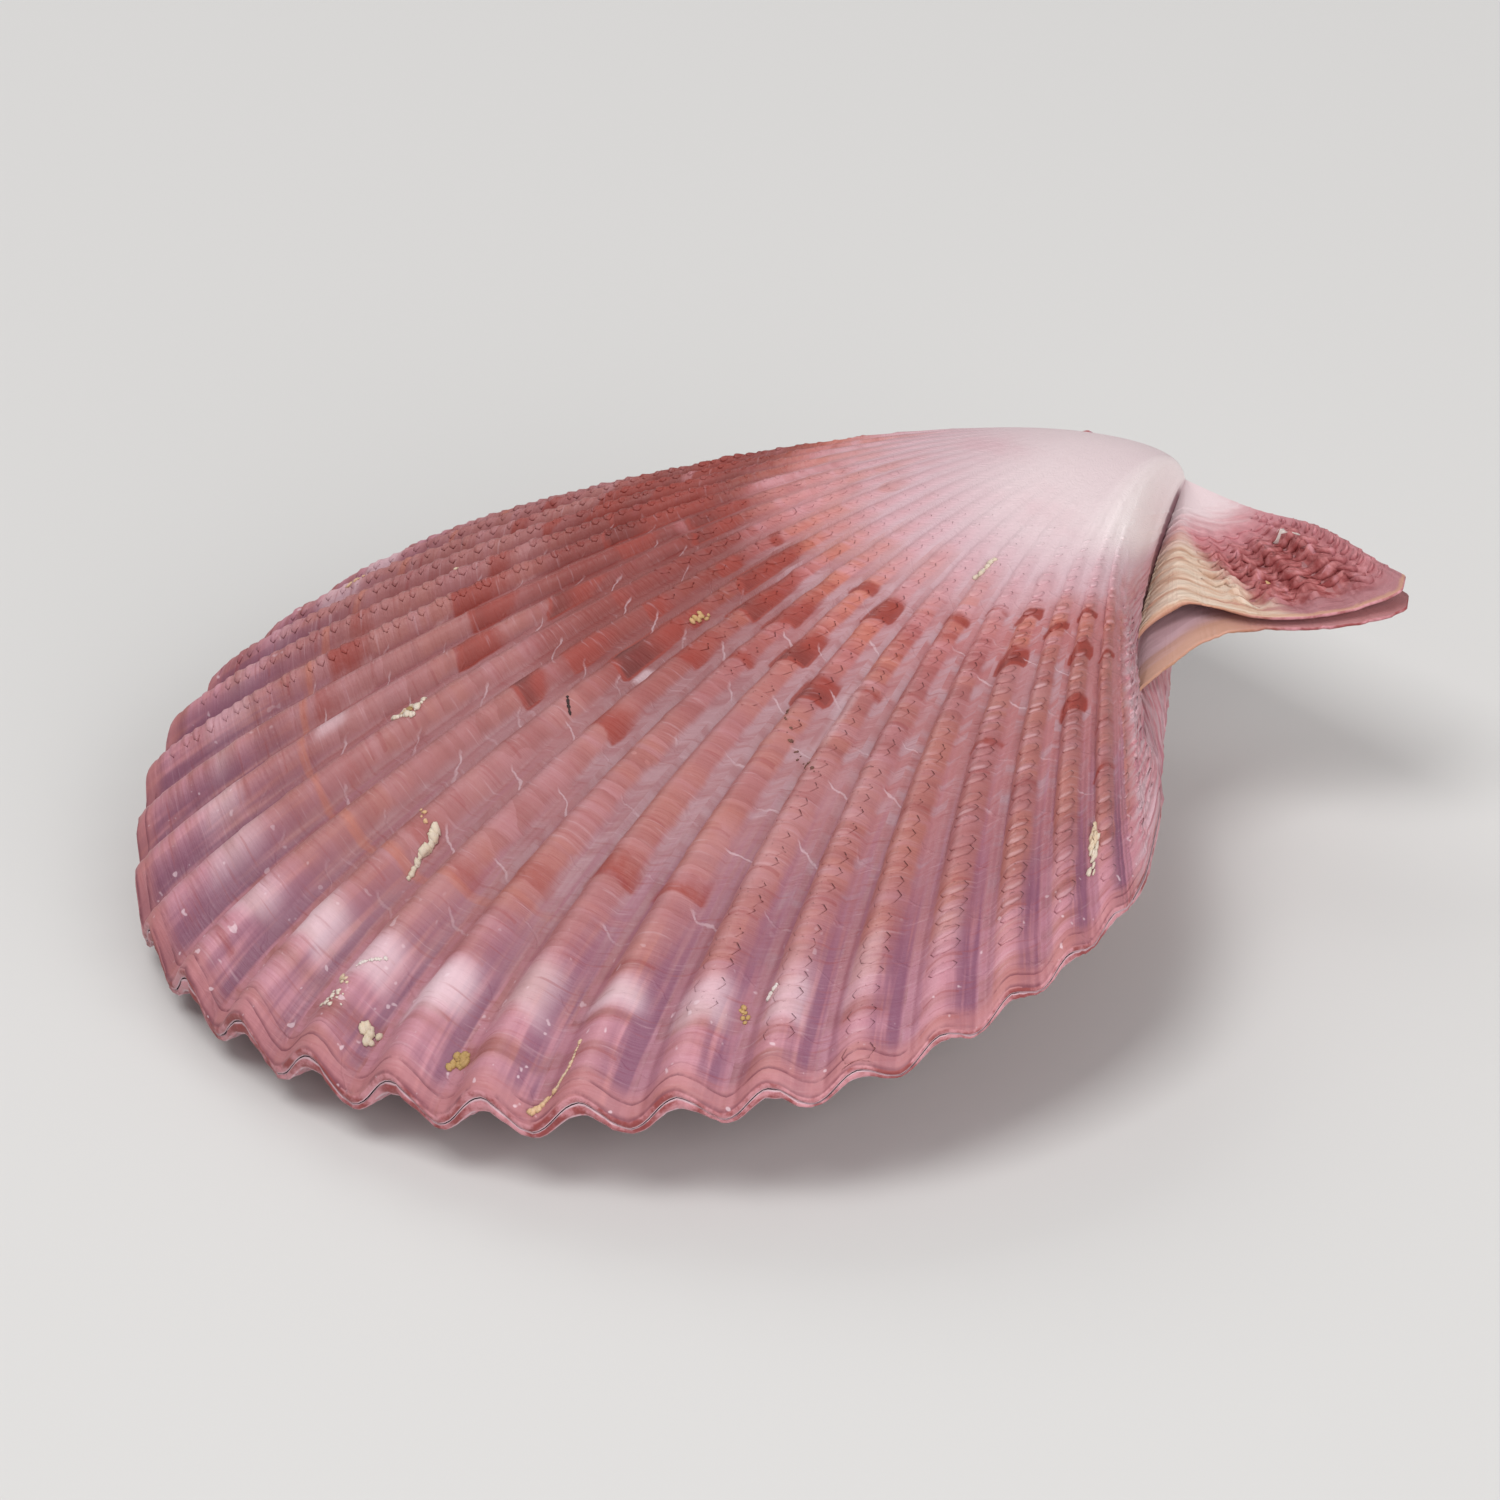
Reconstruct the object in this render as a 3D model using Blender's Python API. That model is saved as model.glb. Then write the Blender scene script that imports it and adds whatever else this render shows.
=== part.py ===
"""Glorious scallop shell: both valves, closed, lying on the belly of the lower valve.

Metres, +Z up, origin in the middle of the underside of the shell's box. +X points toward the near ear, which
has the byssal notch, and -Y toward the fan's margin. A place on a valve is given by its rib number, counted
across the shell from 0 in the middle of the fan, and by its growth stage, 0 at the umbo and 1 at the margin.
Whole rib numbers are grooves and the halves between them are crests. The shell is modelled with its hinge on
the X axis and the plane where the valves meet at z = 0, and is then tilted to the way it lies.
"""
import math
from bisect import bisect_right

import bmesh
import bpy
from mathutils import Euler, Vector

MM = 0.001
SHELL_HEIGHT = 80.0 * MM
DOME_HEIGHT = 0.144 * SHELL_HEIGHT
NEAR_MARGIN_LIFT = 0.35 * MM
EAR_RIBLET_RISE = 0.25 * MM
BEAK_HEIGHT = 0.5 * MM
LIP = 0.8 * MM
SIDE_LIP = 0.6 * MM
WALL = 1.6 * MM
VALVE_GAP = 0.3 * MM
NOTCH_ARCH = 0.9 * MM
TIP_LIFT = 0.5 * MM
SPOT_DEPTH = 1.25 * MM
LIE = Euler((math.radians(9.0), math.radians(-3.0), 0.0))

# The ribs bend outward as they grow: this is how much of its angle a rib lacks at the umbo.
RIB_BEND = 0.23
# The dome's profile along a rib is stage ** RISE * (1 - stage) ** FALL, scaled to a top of 1. The lower valve
# is fullest nearer the umbo.
RISE = 0.554
FALL = {"upper": 0.822, "lower": 1.25}
HINGE_STAGE = 0.1
LAST_RIB = 11
# Rib numbers between which the dome rounds over to its foot, outside and inside.
SHOULDER = 9.2
FOOT = 14.0
INNER_SHOULDER = 6.5
INNER_FOOT = 9.8
# Where the near side is widest, how many degrees each rib of the lining stays inward of the next there, and the
# share by which the lining widens later than the outside.
WIDEST = 12.8
LINING_STEP = 1.5
LINING_LAG = 0.1

# Outline, from the far end of the hinge round to the near end: rib number, growth angle from the middle of
# the fan in degrees, radius as a share of the shell's height.
FAR_EAR = [(-20, -90, 0.130), (-18, -73, 0.158), (-17, -67, 0.183), (-16, -62, 0.213), (-15, -58, 0.244)]
FAR_SIDE = [(-14, -55.2, 0.290), (-13.4, -54.2, 0.400), (-12.8, -53.4, 0.510), (-12.2, -52.4, 0.600)]
FAN = [(-11.5, -50.4, 0.671), (-10.5, -46.7, 0.712), (-8.5, -38.6, 0.817), (-6.5, -30.2, 0.911),
       (-4.5, -21.5, 0.965), (-2.5, -12.6, 1.005), (0, -0.5, 1.006), (2.5, 11.7, 0.966), (4.5, 21.3, 0.906),
       (6.5, 30.4, 0.844), (8.5, 38.9, 0.741), (10.5, 46.0, 0.638), (11.5, 48.4, 0.588)]
NEAR_SIDE = [(12.2, 49.6, 0.537), (12.8, 50.9, 0.464), (13.4, 49.5, 0.385)]
UPPER_EAR = [(14, 45.0, 0.255), (15, 54.5, 0.210), (16, 61.2, 0.212), (17, 68.5, 0.237), (18, 75.5, 0.260),
             (19, 82.4, 0.272), (20, 90, 0.276)]
LOWER_EAR = [(14, 46.4, 0.319), (15, 53.0, 0.270), (16, 60.6, 0.238), (17, 68.5, 0.240), (18, 75.5, 0.264),
             (19, 82.4, 0.277), (20, 90, 0.276)]

# How far the crests and grooves rise and fall at the margin: rib number, millimetres. They even out on the
# near side.
MARGIN_WAVES = [(-12, 1.25), (1.5, 1.25), (3.5, 1.05), (5.5, 0.85), (6.5, 0.68), (8.5, 0.52), (10.5, 0.30),
                (12, 0.30)]

# Mesh columns within one rib, and on the sides and ears; rows from umbo to margin.
RIB_COLUMNS = (0.0, 0.24, 0.5, 0.76)
SIDE_COLUMNS = (11.6, 12.2, 12.8, 13.4)
NEAR_EAR_COLUMNS = (14, 14.7, 15.4, 16, 16.5, 17, 17.5, 18, 18.5, 19, 19.5, 20)
FAR_EAR_COLUMNS = (14, 15, 16, 17, 18, 19, 20)
ROWS = 10
ROW_CROWDING = 1.35
SAME_PLACE = 0.001 * MM

COLOURS = {"upper_valve": (0.52, 0.22, 0.22, 1.0), "lower_valve": (0.60, 0.32, 0.31, 1.0)}
ROUGHNESS = 0.55


def ease(start, end, x):
    """0 before start, 1 after end, smooth between."""
    t = min(max((x - start) / (end - start), 0.0), 1.0)
    return t * t * (3.0 - 2.0 * t)


def through(points, column, x):
    """Smooth curve through one column of a list of points, whose first column is the place along it."""
    last = len(points) - 1
    i = min(max(bisect_right([p[0] for p in points], x) - 1, 0), last - 1)

    def slope(k):
        before, after = points[max(k - 1, 0)], points[min(k + 1, last)]
        return (after[column] - before[column]) / (after[0] - before[0])

    start, end = points[i], points[i + 1]
    span = end[0] - start[0]
    t = (x - start[0]) / span
    return ((1 + 2 * t) * (1 - t) ** 2 * start[column] + t * (1 - t) ** 2 * span * slope(i)
            + t * t * (3 - 2 * t) * end[column] + t * t * (t - 1) * span * slope(i + 1))


def profile(valve, stage):
    """Height of the dome along a rib, 1 at its top."""
    fall = FALL[valve]
    top = RISE / (RISE + fall)
    return stage ** RISE * (1 - stage) ** fall / (top ** RISE * (1 - top) ** fall)


def plan(outline, rib, stage, lining=False):
    """Place of a point seen from above. The near side overhangs its ear, and the lining stays under it."""
    angle = through(outline, 1, rib)
    radius = through(outline, 2, rib) * stage
    if lining and 0 < rib < FOOT:
        edge = [(point[2], point[1]) for point in reversed(outline) if WIDEST <= point[0] <= FOOT]
        if radius < edge[-1][0]:
            within = 1 - stage ** 4
            limit = through(edge, 1, max(radius * (1 - LINING_LAG * within), edge[0][0]))
            angle = min(angle, limit - LINING_STEP * (FOOT - rib) * within)
    bent = 1 - ease(50, 88, abs(angle))
    turned = math.radians(angle * (1 - RIB_BEND * (1 - radius) * bent))
    return Vector((math.sin(turned), -math.cos(turned))) * radius * SHELL_HEIGHT


def rib_rise(rib):
    """Height of the ribs and grooves at the margin, which the two valves share."""
    rise = through(MARGIN_WAVES, 1, rib) * MM
    lift = NEAR_MARGIN_LIFT * ease(6.5, 8.5, rib)
    fade = 1 - ease(LAST_RIB - 0.7, LAST_RIB + 0.6, abs(rib))
    return (lift - math.cos(2 * math.pi * rib) * rise) * fade


def ear_riblets(rib):
    """Radial riblets on the outside of the ears, clear of the smooth band beside the notch."""
    return EAR_RIBLET_RISE * math.cos(2 * math.pi * rib) * ease(15.6, 16.6, abs(rib))


def lip(rib):
    """Thickness of a valve at its margin, from the plane where the valves meet."""
    return LIP + (SIDE_LIP - LIP) * ease(2, 8, rib)


def swell(valve, outline, rib, stage, shoulder, foot):
    """Height of the smooth dome, which rounds over from the shoulder to the foot of the fan's side."""
    angle = math.radians(min(abs(through(outline, 1, rib)), 60.0))
    length = max(through(outline, 2, rib) * math.cos(angle), 0.02)
    over = min(max((abs(rib) - shoulder) / (foot - shoulder), 0.0), 1.0)
    return DOME_HEIGHT * profile(valve, stage) * length ** 0.53 * math.sqrt(1 - over * over)


def arch(rib, stage):
    """Lift of the upper near ear over the notch and at the tip of the hinge."""
    over_notch = NOTCH_ARCH * math.exp(-((rib - 15.6) / 1.3) ** 2)
    at_tip = TIP_LIFT * ease(18.4, 20, rib) * stage
    return (over_notch + at_tip) * stage


def outside(valve, outline, rib, stage):
    """Height of a valve's outer face over the plane where the valves meet, before it is turned over."""
    base = BEAK_HEIGHT * (1 - stage) + lip(rib) * stage + ear_riblets(rib) * stage
    ribs = rib_rise(rib) * stage
    dome = swell(valve, outline, rib, stage, SHOULDER, FOOT)
    if valve == "upper":
        return dome + base + ribs + arch(rib, stage)
    return -(dome + base) + ribs


def inside(valve, outline, rib, stage):
    """Height of a valve's inner face: solid at the hinge, smooth within, fluted at the margin."""
    grown = max((stage - HINGE_STAGE) / (1 - HINGE_STAGE), 0.0)
    share = (DOME_HEIGHT - WALL) / DOME_HEIGHT
    dome = swell(valve, outline, rib, grown, INNER_SHOULDER, INNER_FOOT) * share
    ribs = rib_rise(rib) * stage * ease(0.5, 0.95, stage)
    if valve == "upper":
        return dome + VALVE_GAP / 2 + ribs + arch(rib, stage)
    return -(dome + VALVE_GAP / 2) + ribs


def columns():
    """Rib numbers of the mesh's columns, from the far end of the hinge to the near end."""
    far = [-c for c in reversed(SIDE_COLUMNS + FAR_EAR_COLUMNS)]
    fan = [groove + part for groove in range(-LAST_RIB, LAST_RIB) for part in RIB_COLUMNS] + [LAST_RIB]
    return far + fan + list(SIDE_COLUMNS + NEAR_EAR_COLUMNS)


def material(name):
    """Plain material in the valve's main colour."""
    made = bpy.data.materials.new(name)
    made.use_nodes = True
    shader = made.node_tree.nodes["Principled BSDF"]
    shader.inputs["Base Color"].default_value = COLOURS[name]
    shader.inputs["Roughness"].default_value = ROUGHNESS
    shader.inputs["Metallic"].default_value = 0.0
    return made


def grow_valve(valve, ear):
    """One valve as a closed solid: an outer skin, extruded to an inner one."""
    outline = FAR_EAR + FAR_SIDE + FAN + NEAR_SIDE + ear
    ribs = columns()
    stages = [(row / ROWS) ** ROW_CROWDING for row in range(ROWS + 1)]
    skin = bmesh.new()
    rib_layer = skin.verts.layers.float.new("rib")
    stage_layer = skin.verts.layers.float.new("stage")
    bmesh.ops.create_grid(skin, x_segments=len(ribs) - 1, y_segments=ROWS, size=1.0)
    for vert in skin.verts:
        column = round((vert.co.x + 1) / 2 * (len(ribs) - 1))
        row = round((vert.co.y + 1) / 2 * ROWS)
        vert[rib_layer], vert[stage_layer] = ribs[column], stages[row]
        place = plan(outline, ribs[column], stages[row])
        vert.co = (place.x, place.y, outside(valve, outline, ribs[column], stages[row]))
    beak = [vert for vert in skin.verts if vert[stage_layer] == 0.0]
    bmesh.ops.remove_doubles(skin, verts=beak, dist=SAME_PLACE)
    wall = bmesh.ops.extrude_face_region(skin, geom=skin.faces[:], use_keep_orig=True)
    for vert in wall["geom"]:
        if isinstance(vert, bmesh.types.BMVert):
            rib, stage = vert[rib_layer], vert[stage_layer]
            place = plan(outline, rib, stage, lining=True)
            vert.co = (place.x, place.y, inside(valve, outline, rib, stage))
    bmesh.ops.recalc_face_normals(skin, faces=skin.faces[:])
    return skin


def wear_flat(skin):
    """Cuts the rest spot across the lowest ribs of the tilted valve."""
    to_lie = LIE.to_matrix()
    floor = min((to_lie @ vert.co).z for vert in skin.verts) + SPOT_DEPTH
    up = to_lie.inverted() @ Vector((0.0, 0.0, 1.0))
    everything = skin.verts[:] + skin.edges[:] + skin.faces[:]
    bmesh.ops.bisect_plane(skin, geom=everything, dist=SAME_PLACE, plane_co=up * floor, plane_no=up,
                           clear_inner=True)
    rim = [edge for edge in skin.edges if edge.is_boundary]
    bmesh.ops.holes_fill(skin, edges=rim)
    bmesh.ops.recalc_face_normals(skin, faces=skin.faces[:])


def add_valve(name, skin, collection):
    """Turns a skin into an object with its material."""
    mesh = bpy.data.meshes.new(name)
    skin.to_mesh(mesh)
    skin.free()
    mesh.shade_smooth()
    mesh.set_sharp_from_angle(angle=math.radians(50))
    mesh.materials.append(material(name))
    valve = bpy.data.objects.new(name, mesh)
    collection.objects.link(valve)
    return valve


def lay_down(valves):
    """Tilts the shell and moves it so that the origin is under the middle of its box."""
    corners = [LIE.to_matrix() @ vert.co for valve in valves for vert in valve.data.vertices]
    low = Vector(min(corner[axis] for corner in corners) for axis in range(3))
    high = Vector(max(corner[axis] for corner in corners) for axis in range(3))
    for valve in valves:
        valve.rotation_euler = LIE
        valve.location = (-(low.x + high.x) / 2, -(low.y + high.y) / 2, -low.z)


def main():
    for left in list(bpy.context.scene.objects):
        bpy.data.objects.remove(left, do_unlink=True)
    collection = bpy.data.collections.new("scallop_shell")
    bpy.context.scene.collection.children.link(collection)
    upper = grow_valve("upper", UPPER_EAR)
    lower = grow_valve("lower", LOWER_EAR)
    wear_flat(lower)
    valves = [add_valve("upper_valve", upper, collection), add_valve("lower_valve", lower, collection)]
    lay_down(valves)


main()
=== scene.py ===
import math
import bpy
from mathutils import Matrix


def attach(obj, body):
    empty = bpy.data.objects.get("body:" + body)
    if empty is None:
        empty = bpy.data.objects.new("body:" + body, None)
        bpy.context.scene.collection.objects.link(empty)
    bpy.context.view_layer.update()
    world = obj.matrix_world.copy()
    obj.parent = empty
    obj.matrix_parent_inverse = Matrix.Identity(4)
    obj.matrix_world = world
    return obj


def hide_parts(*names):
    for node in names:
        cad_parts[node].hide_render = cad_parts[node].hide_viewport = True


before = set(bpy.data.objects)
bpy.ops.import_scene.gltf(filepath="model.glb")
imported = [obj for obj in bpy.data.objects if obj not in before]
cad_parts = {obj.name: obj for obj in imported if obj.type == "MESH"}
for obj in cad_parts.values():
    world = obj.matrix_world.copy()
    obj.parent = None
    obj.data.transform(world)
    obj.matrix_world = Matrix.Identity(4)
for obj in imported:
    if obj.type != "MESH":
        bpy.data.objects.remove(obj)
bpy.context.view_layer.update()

from types import SimpleNamespace

import bmesh
import bpy
import numpy as np
from mathutils import Euler, Matrix, Vector

mm = 0.001

# the shell is grown with its umbo at the origin and its hinge on X, then tilted to the way it lies
shell = {
    "height": 80 * mm,
    "inset": 0.997,  # keeps the fine relief inside the solids' box
    "dome": 11.52 * mm,
    "beak": 0.5 * mm,
    "lip": 0.8 * mm,
    "sideLip": 0.45 * mm,
    "wall": 1.6 * mm,
    "gap": 0.3 * mm,
    "ribRise": 1.25 * mm,
    "sideRibRise": 0.8 * mm,
    "marginLift": 0.35 * mm,
    "ribGrowth": 2.0,
    "ribWidth": 0.60,  # share of the pitch that a rib takes up before the margin
    "ribBend": 0.23,
    "profileRise": 0.554,
    "profileFall": {"upper": 0.822, "lower": 1.25},
    "shoulder": (9.2, 14.0),
    "innerShoulder": (6.5, 9.8),
    "hingeStage": 0.1,
    "notchArch": 0.9 * mm,
    "overhang": 1.3,  # degrees
    "overhangBlend": 2.2,  # degrees
    "lipLayer": 0.0105,  # stage that one layer of the upper lip takes up
    "tipLift": 0.5 * mm,
    # how far the crests of each margin reach, against the grooves
    "marginTuck": {"upper": -0.0050, "lower": -0.0038},
    "serration": {"upper": 0.08 * mm, "lower": 0.20 * mm},
    "tipDrop": 0.45 * mm,
    "earRidge": 1.2 * mm,
    "lie": Euler((math.radians(9.0), math.radians(-3.0), 0.0)).to_matrix(),
    "umbo": Vector((1.7902 * mm, 39.8949 * mm, 16.4393 * mm)),
}

# rib number, growth angle from the middle of the fan in degrees, radius as a share of the height
farSide = [(-20, -90, 0.130), (-18, -73, 0.158), (-17, -67, 0.183), (-16, -62, 0.213), (-15, -58, 0.244),
           (-14, -55.2, 0.290), (-13.4, -54.2, 0.400), (-12.8, -53.4, 0.510), (-12.2, -52.4, 0.600)]
fan = [(-11.5, -50.4, 0.671), (-10.5, -46.7, 0.712), (-8.5, -38.6, 0.817), (-6.5, -30.2, 0.911),
       (-4.5, -21.5, 0.965), (-2.5, -12.6, 1.005), (0, -0.5, 1.006), (2.5, 11.7, 0.966), (4.5, 21.3, 0.906),
       (6.5, 30.4, 0.840), (8.5, 38.9, 0.739), (10.5, 46.0, 0.634), (11.5, 48.4, 0.584),
       (12.2, 49.6, 0.537), (12.8, 50.9, 0.464), (13.4, 49.5, 0.385)]
upperEar = [(14, 45.0, 0.255), (15, 54.5, 0.210), (16, 61.2, 0.212), (17, 68.5, 0.237), (18, 75.5, 0.260),
            (19, 82.4, 0.280), (19.6, 86.6, 0.289), (20, 90, 0.277)]
lowerEar = [(14, 46.4, 0.319), (15, 53.0, 0.270), (16, 60.6, 0.238), (17, 68.5, 0.240), (18, 75.5, 0.264),
            (19, 82.4, 0.284), (19.6, 86.6, 0.291), (20, 90, 0.277)]
# rib number, rise and fall of the crests and grooves at the margin in millimetres
marginWaves = np.array([(-12, 1.25), (1.5, 1.25), (3.5, 1.05), (5.5, 0.85), (6.5, 0.68), (8.5, 0.52),
                        (10.5, 0.30), (12, 0.30)])
outlines = {"upper": np.array(farSide + fan + upperEar), "lower": np.array(farSide + fan + lowerEar)}


def ease(start, end, x):
    t = np.clip((x - start) / (end - start), 0.0, 1.0)
    return t * t * (3.0 - 2.0 * t)


def hump(middle, width, x):
    return np.exp(-((x - middle) / width) ** 2)


def through(points, column, x, along=0):
    places, values = points[:, along], points[:, column]
    slopes = np.empty(len(places))
    slopes[1:-1] = (values[2:] - values[:-2]) / (places[2:] - places[:-2])
    slopes[0] = (values[1] - values[0]) / (places[1] - places[0])
    slopes[-1] = (values[-1] - values[-2]) / (places[-1] - places[-2])
    i = np.clip(np.searchsorted(places, x, side="right") - 1, 0, len(places) - 2)
    span = places[i + 1] - places[i]
    t = (x - places[i]) / span
    return ((1 + 2 * t) * (1 - t) ** 2 * values[i] + t * (1 - t) ** 2 * span * slopes[i]
            + t * t * (3 - 2 * t) * values[i + 1] + t * t * (t - 1) * span * slopes[i + 1])


def grain(x, y, seed):
    # smooth noise from -1 to 1 on a unit lattice
    i, j = np.floor(x), np.floor(y)
    a, b = ease(0, 1, x - i), ease(0, 1, y - j)

    def corner(p, q):
        raw = np.sin(p * 127.1 + q * 311.7 + seed * 74.7) * 43758.5453
        return raw - np.floor(raw)

    low = corner(i, j) * (1 - a) + corner(i + 1, j) * a
    high = corner(i, j + 1) * (1 - a) + corner(i + 1, j + 1) * a
    return (low * (1 - b) + high * b) * 2 - 1


def profile(valve, stage):
    rise, fall = shell["profileRise"], shell["profileFall"][valve]
    top = rise / (rise + fall)
    return stage ** rise * (1 - stage) ** fall / (top ** rise * (1 - top) ** fall)


def grooveShare(rib):
    # 0 on a crest, 1 in the middle of a groove
    return 2 * np.abs(rib - np.floor(rib) - 0.5)


def swell(valve, rib, stage, shoulder):
    angle = np.radians(np.minimum(np.abs(through(outlines[valve], 1, rib)), 60.0))
    length = np.maximum(through(outlines[valve], 2, rib) * np.cos(angle), 0.02)
    start = shoulder[0] - 0.7 * ease(0, 5, rib)
    over = np.clip((np.abs(rib) - start) / (shoulder[1] - start), 0.0, 1.0)
    return shell["dome"] * profile(valve, stage) * length ** 0.53 * (1 - over ** 1.7) ** 0.56


def flute(valve, rib, stage):
    # rounded ribs with flat spaces between them, that even out to a wave where the valves meet
    groove = grooveShare(rib)
    wave = np.cos(np.pi * groove)
    body = np.cos(np.pi / 2 * np.clip(groove / shell["ribWidth"], 0, 1)) ** 0.8
    if valve == "lower":
        body = 1 - np.cos(np.pi / 2 * np.clip((1 - groove) / shell["ribWidth"], 0, 1)) ** 0.8
    even = ease(0.72, 0.95, stage)
    rise = shell["ribRise"] + (shell["sideRibRise"] - shell["ribRise"]) * ease(5, 10, rib)
    rise *= (1 - even) * ease(0.06, 0.48, stage)
    lift = shell["marginLift"] * ease(6.5, 8.5, rib)
    fade = 1 - ease(10.3, 11.6, np.abs(rib))
    margin = wave * even * through(marginWaves, 1, rib) * mm + lift
    return ((2 * body - 1) * rise + margin) * fade * stage ** shell["ribGrowth"]


def onFan(rib):
    return 1 - ease(10.8, 11.8, np.abs(rib))


def drop(rib, stage):
    # the lower near ear bends away at its tip
    return shell["tipDrop"] * ease(16.8, 19.4, rib) * stage ** 2


def ridge(rib, stage):
    # the near ear's back edge, bowed upward in both valves
    return shell["earRidge"] * ease(17.4, 19.4, rib) * hump(0.64, 0.24, stage)


def arch(rib, stage):
    overNotch = shell["notchArch"] * hump(15.6, 1.3, rib)
    atTip = shell["tipLift"] * ease(18.4, 20, rib) * stage
    return (overNotch + atTip) * stage


def outside(valve, rib, stage):
    lip = shell["lip"] + (shell["sideLip"] - shell["lip"]) * ease(2, 8, rib)
    if valve == "lower":  # under the crests of the upper valve the rim is thick, in its grooves thin
        thick = 0.32 - 0.78 * grooveShare(rib) - 0.15 * ease(4, 8, rib)
        lip = lip * (1 + thick * onFan(rib) * ease(0.86, 1.0, stage))
    over = swell(valve, rib, stage, shell["shoulder"]) + shell["beak"] * (1 - stage) + lip * stage
    if valve == "upper":
        return over + flute(valve, rib, stage) + arch(rib, stage) + ridge(rib, stage)
    return -over + flute(valve, rib, stage) - drop(rib, stage) + ridge(rib, stage)


def inside(valve, rib, stage):
    grown = np.maximum((stage - shell["hingeStage"]) / (1 - shell["hingeStage"]), 0.0)
    dome = swell(valve, rib, grown, shell["innerShoulder"])
    gap = shell["gap"] * (1 - 0.72 * onFan(rib) * ease(0.93, 1.0, stage))
    under = dome * (1 - shell["wall"] / shell["dome"]) + gap / 2
    ribs = flute(valve, rib, stage) * ease(0.5, 0.95, stage)
    if valve == "upper":
        return under + ribs + arch(rib, stage) + ridge(rib, stage)
    return -under + ribs - drop(rib, stage) + ridge(rib, stage)


def place(valve, rib, stage, height, lining=False):
    # growth coordinates to a point, in the frame of the umbo
    outline = outlines[valve]
    angle = through(outline, 1, rib)
    radius = through(outline, 2, rib) * stage
    edge = outline[(outline[:, 0] >= 12.8) & (outline[:, 0] <= 14)][::-1]
    near = (rib > 0) & (rib < 14) & (radius < edge[-1, 2])
    if lining:  # the near side overhangs its ear, and the lining stays under it
        within = 1 - stage ** 4
        limit = through(edge, 1, np.clip(radius * (1 - 0.1 * within), edge[0, 2], edge[-1, 2]), 2)
        angle = np.where(near, np.minimum(angle, limit - 1.5 * (14 - rib) * within), angle)
    elif valve == "upper":  # and so does the overhang's own face, softly
        limit = through(edge, 1, np.clip(radius, edge[0, 2], edge[-1, 2]), 2)
        limit = limit + shell["overhang"] + 6 * ease(0.40, 0.46, radius)
        blend = shell["overhangBlend"]
        soft = limit - blend * np.log1p(np.exp((limit - angle) / blend))
        share = (1 - ease(13.2, 14, rib)) * (1 - ease(0.9, 1, stage))
        angle = np.where(near, angle + (soft - angle) * share, angle)
    bent = 1 - ease(50, 88, np.abs(angle))
    turned = np.radians(angle * (1 - shell["ribBend"] * (1 - radius) * bent))
    tuck = shell["marginTuck"][valve] * (1 - grooveShare(rib)) * onFan(rib) * ease(0.86, 1.0, stage)
    reach = radius * shell["height"] * shell["inset"] * (1 + tuck)
    ragged = grain(rib * 5.3, np.zeros_like(rib), 21) + 0.9 * grain(rib * 16.0, np.zeros_like(rib), 22)
    reach -= shell["serration"][valve] * (0.6 - 0.5 * ragged) * ease(0.97, 1.0, stage)
    return np.stack([np.sin(turned) * reach, -np.cos(turned) * reach, height], -1)


def lay(points):
    return points @ np.array(shell["lie"]).T + np.array(shell["umbo"])


# relief of the valves' outer faces, in millimetres along the surface's normal
relief = {
    "columnsPerRib": 16,
    "rows": 168,
    "marginRows": 10,
    "marginStart": 0.965,
    "rimBulge": 0.12,
    "innerRows": 10,
    "rowCrowding": 1.10,
    "sideColumns": 22,
    "nearEarColumns": 60,
    "farEarColumns": 24,
    "growthSteps": (0.24, 0.30, 0.35, 0.41, 0.47, 0.53, 0.575, 0.62, 0.665, 0.70, 0.755, 0.81, 0.845, 0.885,
                    0.93, 0.962, 0.983),
    "stepHeight": 0.09,
    "stepRun": 0.028,  # stage over which a step rises
    "lipSteps": 0.10,
    "flankFrills": 0.16,
    "knobs": 0.10,
    "threads": 0.05,
    "earRiblets": 0.32,
    "earRuffles": 0.42,
    "earFold": 0.22,
    "bandWaves": 0.10,
    "frillSpacing": 1.25,
    "ruffleSpacing": 1.15,
    "ribletStart": 16.75,
    "ribletsPerRib": 1.3,
}


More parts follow.
